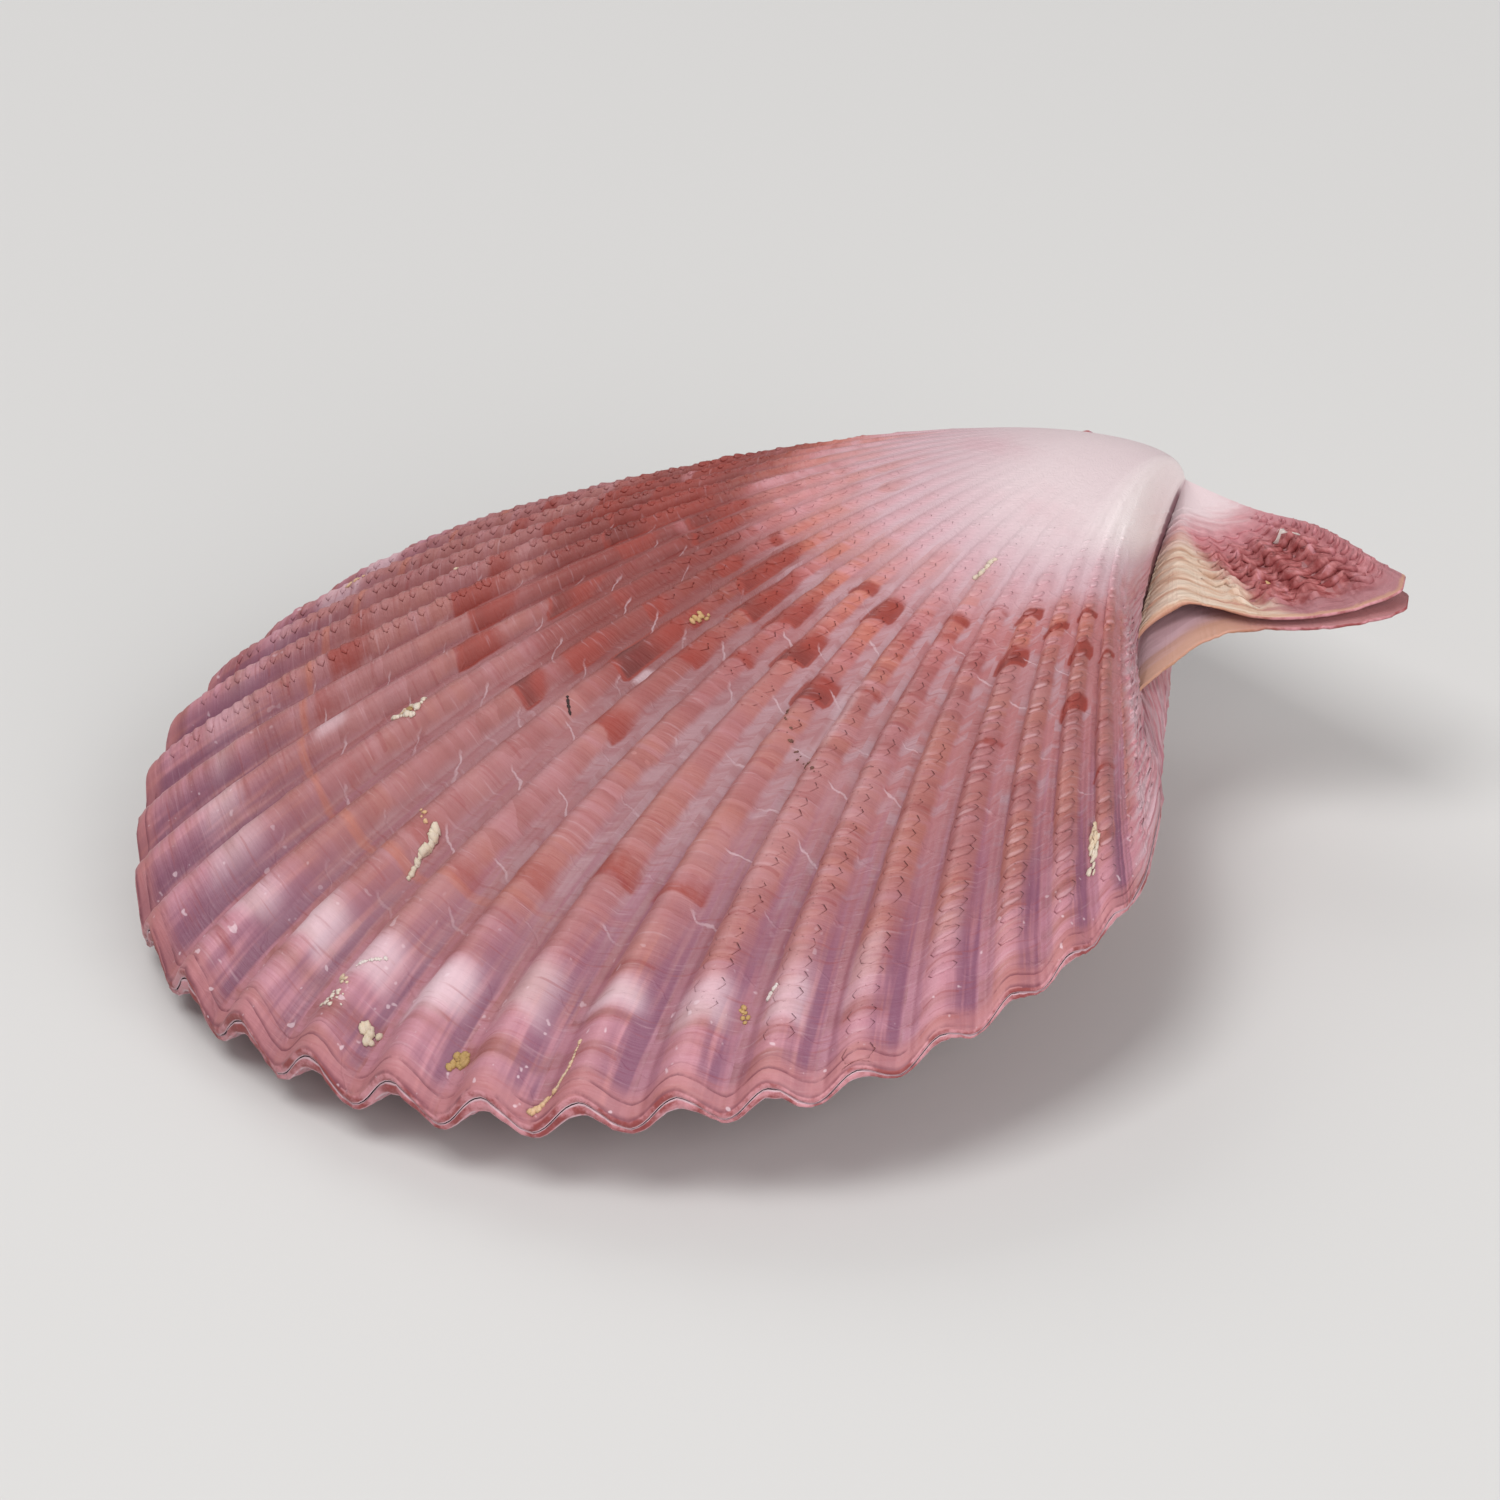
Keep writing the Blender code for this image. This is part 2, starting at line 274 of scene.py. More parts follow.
def sculpt(valve, rib, stage):
    far = through(outlines[valve], 2, rib) * shell["height"] / mm * stage
    groove = grooveShare(rib)
    fanShare = 1 - ease(11.2, 12.2, np.abs(rib))
    onRib = 1 - ease(0.35, 0.7, groove)
    wander = 0.014 * grain(rib * 0.8, stage * 6, 3) + 0.006 * grain(rib * 3, stage * 20, 4)
    grown = stage + wander - 0.008 * (1 - groove ** 2) * fanShare
    height = np.zeros_like(rib)
    for number, step in enumerate(relief["growthSteps"]):
        strength = 0.6 + 0.5 * grain(rib * 0.6, np.full_like(rib, number * 3.1), 5)
        ahead = np.clip((grown - step + relief["stepRun"]) / relief["stepRun"], 0, 1) ** 2 * (grown < step)
        height += relief["stepHeight"] * strength * ahead * ease(0.1, 0.3, stage)
    layer = (1 - stage) / shell["lipLayer"] + 0.35 * grain(rib * 1.1, stage * 0, 14)
    height += relief["lipSteps"] * (layer - np.floor(layer) - 0.5) * ease(0.974, 0.982, stage) * fanShare
    flank = ease(11.0, 11.8, np.abs(rib)) * (1 - ease(13.5, 13.9, np.abs(rib)))
    frill = far / relief["frillSpacing"] + 0.5 * grain(rib * 1.3, far * 0.2, 15) + 0.3 * rib
    frill = (frill - np.floor(frill)) ** 2 + 0.5 * grain(rib * 2.6, far * 0.9, 16)
    height += relief["flankFrills"] * frill * flank * ease(0.35, 0.55, stage)
    knobs = onRib * grain(np.floor(rib) * 7.7, far * 0.62, 6) * hump(0.48, 0.17, stage)
    height += relief["knobs"] * knobs * fanShare
    threads = grain(rib * 6.0, far * 0.30, 7) * ease(0.45, 0.75, stage)
    height += relief["threads"] * threads * (1 - 0.5 * onRib)
    ear = ease(13.9, 14.3, np.abs(rib))
    riblets = ease(15, 17, rib)
    if valve == "upper":
        riblets = ease(16.1, 16.9, rib) * (1 - 0.6 * ease(19.2, 19.9, rib))
    farRiblets = ease(14.6, 15.4, -rib)
    ripple = np.cos(2 * np.pi * (rib - relief["ribletStart"]) * relief["ribletsPerRib"])
    calm = 1 - 0.85 * ease(0.90, 0.98, stage)
    height += ear * (riblets + farRiblets) * relief["earRiblets"] * ripple * ease(0.3, 0.65, stage) * calm
    frill = far / relief["ruffleSpacing"] + 0.35 * grain(rib * 1.4, far * 0.3, 8) + 0.22 * ripple
    frill = (frill - np.floor(frill)) ** 1.5
    ruffles = (frill - 0.4) * (0.7 + 0.5 * ripple) * ease(0.42, 0.62, stage)
    height += riblets * ear * relief["earRuffles"] * ruffles * calm
    if valve == "upper":
        waves = np.abs(np.sin(far * 2.3 + 1.3 * grain(rib * 0.8, far * 0.25, 9) - 0.5 * (rib - 15))) ** 0.7
        height += hump(15.0, 1.1, rib) * ear * relief["bandWaves"] * waves * ease(0.15, 0.4, stage)
        fold = hump(14.9, 0.55, rib) - hump(16.0, 0.5, rib)
        height += relief["earFold"] * fold * ear * ease(0.2, 0.6, stage)
    return height * mm * ease(0.0, 0.02, stage) * (1 - 0.5 * ease(0.985, 1.0, stage))


def skin(valve, rib, stage, lift=0.0):
    # points on a valve's outer face, with the way out of it
    def point(r, s):
        return place(valve, r, s, outside(valve, r, s))

    low, high = np.clip(stage - 0.002, 0.0, 1.0), np.clip(stage + 0.002, 0.0, 1.0)
    along = point(rib, np.maximum(high, 0.004)) - point(rib, low)
    across = point(rib + 0.01, np.maximum(stage, 0.004)) - point(rib - 0.01, np.maximum(stage, 0.004))
    normal = np.cross(along, across)
    normal /= np.maximum(np.linalg.norm(normal, axis=-1, keepdims=True), 1e-15)
    if valve == "lower":
        normal = -normal
    return point(rib, stage) + normal * (sculpt(valve, rib, stage) + lift)[..., None], normal


def gridColumns():
    fanColumns = np.linspace(-11, 11, 22 * relief["columnsPerRib"] + 1)
    side = np.linspace(11, 14, relief["sideColumns"] + 1)[1:]
    nearEar = np.linspace(14, 20, relief["nearEarColumns"] + 1)[1:]
    farEar = np.linspace(14, 20, relief["farEarColumns"] + 1)[1:]
    return np.concatenate([-farEar[::-1], -side[::-1], fanColumns, side, nearEar])


def closeUp(bm):
    bmesh.ops.holes_fill(bm, edges=[e for e in bm.edges if e.is_boundary])
    bmesh.ops.recalc_face_normals(bm, faces=bm.faces[:])


def valveSheet(valve):
    # the outer face, the rim and the lining as one sheet
    columns = gridColumns()
    outer = relief["marginStart"] * np.linspace(0, 1, relief["rows"] + 1) ** relief["rowCrowding"]
    outer = np.concatenate([outer, np.linspace(relief["marginStart"], 1, relief["marginRows"] + 1)[1:]])
    inner = np.linspace(1, 0, relief["innerRows"] + 1)
    rim = np.array([0.25, 0.5, 0.75])
    rib, stage = np.meshgrid(columns, outer, indexing="ij")
    points = skin(valve, rib, stage)[0]
    innerRib, innerStage = np.meshgrid(columns, inner, indexing="ij")
    lining = place(valve, innerRib, innerStage, inside(valve, innerRib, innerStage), True)
    lip, root = points[:, -1:], lining[:, :1]
    out = np.concatenate([lip[..., :2], np.zeros_like(lip[..., :1])], -1)
    out /= np.maximum(np.linalg.norm(out, axis=-1, keepdims=True), 1e-9)
    edge = lip * (1 - rim[None, :, None]) + root * rim[None, :, None]
    edge += out * np.sin(np.pi * rim)[None, :, None] * relief["rimBulge"] * mm
    sheet = lay(np.concatenate([points, edge, lining], 1))
    stages = np.concatenate([outer, np.ones(len(rim)), inner])
    within = np.concatenate([np.zeros(len(outer)), rim, np.ones(len(inner))])
    return columns, stages, within, sheet


def growValve(valve, name):
    columns, stages, within, sheet = valveSheet(valve)
    bm = bmesh.new()
    bmesh.ops.create_grid(bm, x_segments=len(columns) - 1, y_segments=len(stages) - 1, size=1.0)
    mesh = bpy.data.meshes.new(name)
    bm.to_mesh(mesh)
    bm.free()
    flat = np.empty(len(mesh.vertices) * 3)
    mesh.vertices.foreach_get("co", flat)
    column = np.rint((flat[0::3] + 1) / 2 * (len(columns) - 1)).astype(int)
    row = np.rint((flat[1::3] + 1) / 2 * (len(stages) - 1)).astype(int)
    mesh.vertices.foreach_set("co", sheet[column, row].ravel())
    setFields(mesh, valve, columns[column], stages[row], within[row])

    bm = bmesh.new()
    bm.from_mesh(mesh)
    bm.verts.ensure_lookup_table()
    beaks = [[bm.verts[int(i)] for i in np.flatnonzero(row == end)] for end in (0, len(stages) - 1)]
    for beak in beaks:
        bmesh.ops.remove_doubles(bm, verts=beak, dist=1e-7)
    closeUp(bm)
    return mesh, bm


def wearFlat(bm):
    # the flat spot that the shell rests on, on the lowest ribs
    bmesh.ops.bisect_plane(bm, geom=bm.verts[:] + bm.edges[:] + bm.faces[:], dist=1e-7,
                           plane_co=(0, 0, 0), plane_no=(0, 0, 1), clear_inner=True)
    closeUp(bm)


# rust-red blotches: rib, growth stage where they start and end, strength
blotches = [
    (-11, 0.50, 0.53, 0.5), (-11, 0.60, 0.66, 0.6), (-10, 0.46, 0.54, 0.6), (-10, 0.57, 0.63, 0.5),
    (-10, 0.66, 0.72, 0.5), (-9, 0.44, 0.50, 0.8), (-9, 0.52, 0.60, 0.8), (-9, 0.66, 0.70, 0.5),
    (-8, 0.44, 0.52, 0.8), (-8, 0.54, 0.585, 0.8), (-8, 0.61, 0.63, 0.7), (-7, 0.42, 0.54, 0.9),
    (-7, 0.62, 0.67, 0.5), (-6, 0.425, 0.535, 1.0), (-6, 0.62, 0.69, 0.8), (-5, 0.40, 0.46, 1.0),
    (-5, 0.48, 0.52, 0.7), (-5, 0.61, 0.665, 0.9), (-4, 0.405, 0.455, 1.0), (-4, 0.54, 0.595, 1.0),
    (-4, 0.635, 0.68, 0.9), (-3, 0.52, 0.545, 0.5), (-3, 0.44, 0.46, 0.4), (-2, 0.385, 0.40, 0.8),
    (-2, 0.43, 0.455, 0.8), (-2, 0.50, 0.525, 0.8), (-2, 0.55, 0.61, 0.7), (-2, 0.63, 0.66, 1.0),
    (-1, 0.39, 0.46, 1.0), (-1, 0.51, 0.585, 1.2), (-1, 0.49, 0.51, 0.6), (0, 0.43, 0.49, 1.0),
    (0, 0.51, 0.56, 0.6), (0, 0.61, 0.65, 0.6), (1, 0.45, 0.49, 0.8), (1, 0.53, 0.545, 0.6),
    (2, 0.41, 0.43, 0.6), (2, 0.49, 0.535, 1.0), (2, 0.755, 0.80, 0.55), (3, 0.435, 0.47, 0.9),
    (3, 0.535, 0.575, 1.0), (3, 0.765, 0.81, 0.5), (4, 0.55, 0.57, 0.5), (5, 0.45, 0.47, 0.6),
    (6, 0.44, 0.455, 0.5), (6, 0.52, 0.55, 0.3), (7, 0.455, 0.475, 0.8), (7, 0.515, 0.55, 0.9),
    (7, 0.65, 0.67, 0.5), (8, 0.49, 0.51, 0.7), (8, 0.58, 0.60, 0.4), (9, 0.49, 0.505, 0.8),
    (9, 0.545, 0.575, 0.9), (9, 0.63, 0.665, 0.8), (10, 0.58, 0.595, 0.6), (10, 0.70, 0.72, 0.4),
    (10, 0.78, 0.80, 0.5), (-7, 0.76, 0.80, 0.5), (-6, 0.755, 0.81, 0.6), (-5, 0.77, 0.82, 0.4),
    (-3, 0.77, 0.80, 0.4), (-1, 0.76, 0.81, 0.4), (0, 0.77, 0.83, 0.4), (1, 0.76, 0.82, 0.4),
]
# pale patches elsewhere: rib, stage, half width in ribs, half length, strength
patches = [(0.1, 0.576, 0.22, 0.012, 0.8), (4.3, 0.600, 0.30, 0.050, 0.45), (4.2, 0.560, 0.25, 0.020, 0.5),
           (-3.6, 0.800, 0.35, 0.020, 0.5), (-8.4, 0.905, 0.30, 0.030, 0.6), (-9.4, 0.915, 0.30, 0.030, 0.7),
           (6.4, 0.905, 0.30, 0.045, 0.45), (5.5, 0.925, 0.35, 0.030, 0.6), (7.5, 0.885, 0.30, 0.030, 0.3)]
# white flares across the ribs near the margin: rib and strength
flares = {-10: 0.2, -9: 0.3, -8: 0.3, -7: 0.3, -6: 0.4, -5: 0.45, -4: 0.6, -3: 0.5, -2: 0.6, -1: 0.85,
          0: 0.65, 1: 0.9, 2: 0.65, 3: 0.85, 4: 0.7, 5: 0.35, 6: 0.2, 7: 0.15, 8: 0.1}
flareReach = {"start": 0.872, "end": 0.945, "fadeIn": 0.035, "fadeOut": 0.022}  # stages


def paint(valve, rib, stage):
    # masks that follow growth; the materials turn them into colour
    inRib = np.floor(rib)
    wobble = 0.006 * grain(rib * 1.7, stage * 9, 11) + 0.004 * grain(rib * 5, stage * 50, 17)
    stain = np.zeros_like(rib)
    flare = np.zeros_like(rib)
    if valve == "upper":
        for number, start, end, strength in blotches:
            across = 1 - ease(0.30, 0.50, np.abs(rib - number - 0.5))
            along = ease(start - 0.014, start + 0.012, stage + 2 * wobble)
            along *= 0.45 + 0.55 * ease(start, end - 0.006, stage + wobble)
            along *= 1 - ease(end - 0.002, end + 0.006, stage + wobble)
            stain = np.maximum(stain, across * along * strength)
        for number, strength in flares.items():
            across = 1 - ease(0.16, 0.50, np.abs(rib - number - 0.47))
            start = flareReach["start"] + 0.012 * np.sin(number * 2.3)
            end = flareReach["end"] + 0.010 * np.sin(number * 1.7)
            along = ease(start, start + flareReach["fadeIn"], stage + wobble)
            along *= 1 - ease(end - flareReach["fadeOut"], end, stage + 2 * wobble)
            flare = np.maximum(flare, across * strength * along)
        for middle, centre, halfWidth, halfLength, strength in patches:
            across = 1 - ease(0.5, 1.0, np.abs(rib - middle) / halfWidth)
            along = 1 - ease(0.5, 1.0, np.abs(stage + wobble - centre) / halfLength)
            flare = np.maximum(flare, across * along * strength)
    else:
        cell = grain(inRib * 0.9 + 0.5, stage * 9, 12)
        stain = ease(0.15, 0.6, cell) * ease(0.35, 0.45, stage) * (1 - ease(0.7, 0.8, stage)) * 0.7
        flare = hump(0.90, 0.02, stage) * ease(-0.3, 0.6, grain(inRib, np.zeros_like(rib), 13)) * 0.6
    shift = 0.20 * ease(-3, 10.5, rib) - 0.02 + 0.03 * ease(7, 11, -rib)
    return {"stain": stain, "flare": flare, "zone": stage - shift * (1 - stage) * 1.5}


def setFields(mesh, valve, rib, stage, within, paleLipsAndHighlight=0.0):
    fields = {"rib": rib, "stage": stage, "within": within}
    fields.update(paint(valve, rib, stage))
    # the scales' pale lips, partly painted highlight, are laid as white like the flares
    fields["flare"] = np.maximum(fields["flare"], paleLipsAndHighlight)
    for field, values in fields.items():
        layer = mesh.attributes.new(field, "FLOAT", "POINT")
        layer.data.foreach_set("value", values.astype(np.float32))


class Value:
    # a shader socket that plain arithmetic works on
    def __init__(self, material, socket):
        self.material, self.socket = material, socket

    def work(self, operation, first, second=0.0):
        return self.material.node("ShaderNodeMath", {"operation": operation}, {0: first, 1: second})

    def __add__(self, other): return self.work("ADD", self, other)
    def __radd__(self, other): return self.work("ADD", other, self)
    def __sub__(self, other): return self.work("SUBTRACT", self, other)
    def __rsub__(self, other): return self.work("SUBTRACT", other, self)
    def __mul__(self, other): return self.work("MULTIPLY", self, other)
    def __rmul__(self, other): return self.work("MULTIPLY", other, self)
    def __truediv__(self, other): return self.work("DIVIDE", self, other)


class Finish:
    # one material and its nodes
    def __init__(self, name):
        self.made = bpy.data.materials.new(name)
        self.made.use_nodes = True
        self.tree = self.made.node_tree
        self.tree.nodes.clear()
        self.shader = self.tree.nodes.new("ShaderNodeBsdfPrincipled")
        out = self.tree.nodes.new("ShaderNodeOutputMaterial")
        self.tree.links.new(self.shader.outputs["BSDF"], out.inputs["Surface"])

    def plug(self, socket, value):
        if isinstance(value, Value):
            self.tree.links.new(value.socket, socket)
        else:
            socket.default_value = value

    def node(self, kind, settings, sockets, output=0):
        made = self.tree.nodes.new(kind)
        for setting, value in settings.items():
            if setting == "stops":
                ramp = made.color_ramp
                while len(ramp.elements) < len(value):
                    ramp.elements.new(0.5)
                for element, (position, colour) in zip(ramp.elements, value):
                    element.position = position
                    element.color = (*colour, 1.0)
            else:
                setattr(made, setting, value)
        for socket, value in sockets.items():
            self.plug(made.inputs[socket], value)
        return Value(self, made.outputs[output])

    def field(self, name):
        return self.node("ShaderNodeAttribute", {"attribute_name": name}, {}, "Fac")

    def between(self, value, start, end):
        return self.node("ShaderNodeMapRange", {"interpolation_type": "SMOOTHSTEP"},
                         {"Value": value, "From Min": start, "From Max": end, "To Min": 0.0, "To Max": 1.0})

    def blend(self, factor, first, second):
        # two colours, each a name or a socket
        first, second = (colours[c] if isinstance(c, str) else c for c in (first, second))
        return self.node("ShaderNodeMix", {"data_type": "RGBA"}, {"Factor": factor, 6: first, 7: second}, 2)

    def coats(self, base, *layers):
        # colours laid over each other: amount and colour of each
        for amount, colour in layers:
            base = self.blend(amount, base, colour)
        return base

    def stir(self, value, noise, amount=1.0):
        # a value made uneven by a noise
        return value + (noise - 0.5) * amount

    def vector(self, x, y, z=0.0):
        return self.node("ShaderNodeCombineXYZ", {}, {"X": x, "Y": y, "Z": z})

    def noise(self, where, scale, detail=3.0, roughness=0.55):
        sockets = {"Vector": where, "Scale": scale, "Detail": detail, "Roughness": roughness}
        return self.node("ShaderNodeTexNoise", {"noise_dimensions": "3D"}, sockets)

    def sine(self, value):
        return self.node("ShaderNodeMath", {"operation": "SINE"}, {0: value})

    def whole(self, value):
        return self.node("ShaderNodeMath", {"operation": "FLOOR"}, {0: value})

    def fraction(self, value):
        return self.node("ShaderNodeMath", {"operation": "FRACT"}, {0: value})

    def size(self, value):
        return self.node("ShaderNodeMath", {"operation": "ABSOLUTE"}, {0: value})


def tint(red, green, blue):
    # a screen colour as the shader wants it
    def linear(c):
        c /= 255
        return c / 12.92 if c <= 0.04045 else ((c + 0.055) / 1.055) ** 2.4
    return (linear(red), linear(green), linear(blue), 1.0)


colours = {
    "cream": tint(219, 199, 202),
    "lilac": tint(200, 167, 175),
    "blush": tint(204, 152, 162),
    "rose": tint(176, 104, 104),
    "salmon": tint(184, 108, 92),
    "pink": tint(196, 134, 142),
    "orchid": tint(192, 134, 150),
    "mauve": tint(168, 108, 128),
    # purple with painted shade, for the rib flanks and grooves near the margin
    "purple": tint(122, 74, 98),
    "plum": tint(110, 52, 66),
    "rust": tint(142, 54, 44),
    "ember": tint(112, 42, 38),
    "haze": tint(140, 104, 108),
    "bone": tint(236, 222, 222),
    "dark": tint(86, 32, 32),
    "white": tint(222, 198, 206),
    "orange": tint(182, 104, 76),
    "tan": tint(186, 140, 112),
    "ivory": tint(212, 192, 174),
    "brick": tint(140, 62, 62),
    "space": tint(180, 144, 152),
    "dusk": tint(160, 108, 114),
    "flesh": tint(176, 112, 112),
}
valveLook = {
    "cloudScale": 90.0,  # noise scales, per metre
    "mottleScale": 420.0,
    "gritScale": 1900.0,
    "speckScale": 1300.0,
    "poreScale": 2600.0,
    "growthSteps": 26.0,  # colour steps from umbo to margin
    "ribletsPerRib": 7,
    "haze": 0.42,  # from here, how strongly each colour covers those below it
    "purple": 0.85,
    "blotches": 0.90,
    "flares": 0.64,
    "threads": 0.38,
    "lipLines": 0.75,
    "specks": 0.55,
    "bump": 0.35,
    "bumpDepth": 0.25 * mm,
    "roughness": 0.40,
    "unevenness": 0.24,
    "ior": 1.48,
}


def growthFields(m):
    # where a point lies on the shell, and the noises that its colours share
    fields = ("rib", "stage", "zone", "stain", "flare", "within")
    s = SimpleNamespace(**{field: m.field(field) for field in fields})
    s.here = m.node("ShaderNodeTexCoord", {}, {}, "Object")
    s.number = m.whole(s.rib)
    s.side = s.rib - s.number - 0.5  # -0.5 and 0.5 in the grooves, 0 on the crest
    s.groove = m.size(s.side) * 2.0
    s.fan = 1.0 - m.between(m.size(s.rib), 11.4, 12.4)
    s.late = m.between(s.stage, 0.78, 0.92)
    s.cloud = m.noise(s.here, valveLook["cloudScale"], 4.0)
    s.mottle = m.noise(s.here, valveLook["mottleScale"], 5.0, 0.65)
    s.perRib = m.noise(m.vector(s.number * 3.7, s.zone * 9.0, 2.0), 1.0, 2.0)
    alongRib = s.stage * 46.0 + s.groove * s.groove * 0.5
    s.bands = m.noise(m.vector(s.number * 1.3 + s.cloud * 0.4, alongRib, 5.0), 1.0, 3.0)
    s.fine = m.noise(m.vector(s.rib * 1.6, s.stage * 240.0 + s.groove * 1.5, 1.0), 1.0, 2.0)
    s.streak = m.noise(m.vector(s.rib * 9.0, s.stage * 7.0, 8.0), 1.0, 2.0)
    s.lines = m.noise(m.vector(s.rib * 0.5, s.stage * 26.0 - s.rib * 0.6, 7.0), 1.0, 3.0)
    s.scaly = m.noise(m.vector(s.rib * 4.0, s.stage * 22.0, 4.0), 1.0, 3.0)
    s.space = m.between(m.stir(s.groove, s.mottle, 0.25), 0.46, 0.62) * s.fan * m.between(s.stage, 0.30, 0.44)
    return s


def ribColour(m, s):
    # rose to salmon, with paler and darker bands; each growth step darkens toward its end
    ribTone = m.noise(m.vector(s.number * 4.3, 3.0, 3.0), 1.0, 1.0)
    drift = m.noise(m.vector(s.number * 2.9, s.stage * 11.0, 4.0), 1.0, 2.0)
    step = s.stage * valveLook["growthSteps"] + ribTone * 17.0
    step = m.fraction(m.stir(m.stir(step, s.cloud, 1.6), drift, 6.0))
    return m.coats(
        "rose",
        (m.between(s.perRib, 0.40, 0.60), "salmon"),
        (m.between(s.bands, 0.50, 0.70) * 0.55, "rust"),
        (m.between(s.bands, 0.48, 0.32) * 0.60, "pink"),
        (m.between(m.stir(s.cloud, s.perRib, 0.5), 0.52, 0.66) * 0.35, "blush"),
        (step * step * m.between(s.stage, 0.30, 0.45) * m.between(drift, 0.36, 0.60) * 0.5, "rust"),
        (m.between(step, 0.24, 0.02) * 0.22, "pink"))


def spaceColour(m, s):
    # pale lilac at mid-shell, purple toward the margin
    return m.coats(
        "dusk",
        (m.between(s.bands, 0.36, 0.60), "space"),
        (m.between(s.cloud, 0.46, 0.62) * 0.55, "rose"),
        (m.between(s.rib, 1.0, -5.0) * 0.55, "rose"),
        (m.between(s.rib, 2.0, 7.0) * m.between(m.stir(s.bands, s.cloud), 0.60, 0.40) * 0.75, "rose"),
        (m.between(s.streak, 0.46, 0.66) * m.between(s.stage, 0.60, 0.85) * 0.8, "mauve"))


def fanColour(m, s):
    # the left half is darkest at mid-shell, and the right flanks of the ribs turn purple near the margin:
    # purple pigment with painted shade on that side
    left = m.between(s.rib, 3.5, -2.0) * m.between(m.stir(s.zone, s.perRib, 0.1), 0.38, 0.46)
    deep = left * m.between(m.stir(s.stage, s.perRib, 0.1), 0.66, 0.57)
    # painted shade with purple pigment on the right flank of each rib near the margin
    flank = m.between(s.side, -0.02, 0.30) * (1.0 - m.between(s.side, 0.44, 0.50))
    flank = flank * m.between(s.streak, 0.30, 0.56)
    # painted shade deepening the grooves from rib 2 on, toward the margin
    shadedGrooves = s.space * m.between(s.rib, 1.5, 4.5) * m.between(s.stage, 0.66, 0.86)
    return m.coats(
        m.blend(s.space * (0.9 - s.late * 0.62), ribColour(m, s), spaceColour(m, s)),
        (deep * m.between(m.stir(s.bands, s.cloud), 0.10, 0.36) * 0.85, "ember"),
        (left * m.between(s.stage, 0.92, 0.82) * (0.18 + s.bands * 0.30), "rust"),
        (m.between(s.stage, 0.46, 0.60) * (valveLook["haze"] - s.space * 0.12) * (1.0 - deep), "haze"),
        (m.between(s.stage, 0.84, 0.95) * m.between(s.bands, 0.66, 0.40) * 0.65, "orchid"),
        (flank * s.late * s.fan * valveLook["purple"], "purple"),
        (shadedGrooves * 0.42, "purple"))


def umboColour(m, s):
    return m.coats(
        "cream",
        (m.between(m.stir(s.zone, s.mottle, 0.05), 0.10, 0.30), "lilac"),
        (m.between(s.cloud, 0.48, 0.72) * m.between(s.zone, 0.04, 0.2) * 0.5, "blush"),
        (m.between(s.groove, 0.9, 0.2) * m.between(s.zone, 0.18, 0.32) * 0.40, "pink"),
        # painted light: whiter near side of the umbo, where its surface turns away from the lamps
        (m.between(s.rib, 7.5, 10.5) * m.between(s.zone, 0.24, 0.10), "bone"))


def threadLines(m, s):
    # slanted threads that cross each space
    gap = m.whole(s.rib + 0.5)
    slant = s.stage * 15.0 - (s.rib - gap) * 0.55 + m.noise(m.vector(gap * 2.3, 0.0, 1.0), 1.0) * 9.0
    slant = m.stir(m.stir(slant, s.cloud, 1.4), s.mottle, 0.2)
    return m.between(m.size(m.fraction(slant) - 0.5), 0.026, 0.008)


def markings(m, s, base, thread):
    # blotches with ragged ends, freckles, threads, pale flares, growth lines and one arrested growth line
    ragged = s.stain * (0.50 + s.mottle) + (s.bands - 0.5) * 0.35 * s.stain
    freckle = m.noise(m.vector(s.number * 5.1, s.stage * 95.0, 9.0), 1.0, 2.0)
    freckle = m.between(freckle * (1.0 - s.space) * s.fan, 0.60, 0.70) * m.between(s.stage, 0.38, 0.46)
    seen = m.between(m.stir(s.cloud, s.mottle, 0.6), 0.40, 0.56) * m.between(s.stage, 0.42, 0.5)
    seen = seen * m.between(s.stage, 0.90, 0.80)
    arrest = m.between(m.size(m.stir(s.stage, s.fine, 0.012) - 0.828), 0.006, 0.001)
    return m.coats(
        base,
        (m.between(ragged, 0.25, 0.60) * valveLook["blotches"], "rust"),
        (m.between(s.stain * (0.5 + s.cloud), 0.72, 1.20) * 0.7, "dark"),
        (freckle * 0.45, "brick"),
        (thread * s.space * seen * valveLook["threads"], "white"),
        # on the scales this white also carries the pale lips with their painted highlight
        (m.between(s.flare * (0.45 + s.cloud * 1.1), 0.0, 1.1) * valveLook["flares"], "white"),
        (m.between(s.fine, 0.60, 0.74) * 0.22 * m.between(s.stage, 0.3, 0.5), "lilac"),
        (m.between(s.fine, 0.42, 0.28) * 0.35 * m.between(s.stage, 0.3, 0.5), "brick"),
        (arrest * 0.4 * m.between(s.number, 4.0, -2.0), "orange"))


def marginColour(m, s, valve, base):
    if valve == "upper":  # dark lines where the layers of the lip end
        layer = m.fraction(m.stir((1.0 - s.stage) / shell["lipLayer"], s.cloud, 1.2))
        line = m.between(layer, 0.34, 0.02) * m.between(s.stage, 0.976, 0.984) * s.fan
        base = m.coats(
            base,
            (m.between(m.stir(s.stage, s.cloud, 0.02), 0.976, 0.992) * s.fan * 0.6, "flesh"),
            (line * m.between(m.stir(s.mottle, s.cloud), 0.36, 0.60) * valveLook["lipLines"], "plum"))
    else:  # a grainy pale band
        grit = m.noise(s.here, valveLook["gritScale"], 2.0)
        band = m.between(m.stir(s.stage, s.mottle, 0.01), 0.955, 0.972) * s.fan
        base = m.blend(band, base, m.blend(m.between(grit, 0.42, 0.60), "pink", "lilac"))
    specks = m.between(m.noise(s.here, valveLook["speckScale"], 1.0), 0.70, 0.76)
    return m.blend(specks * m.between(s.stage, 0.80, 0.97) * valveLook["specks"], base, "white")


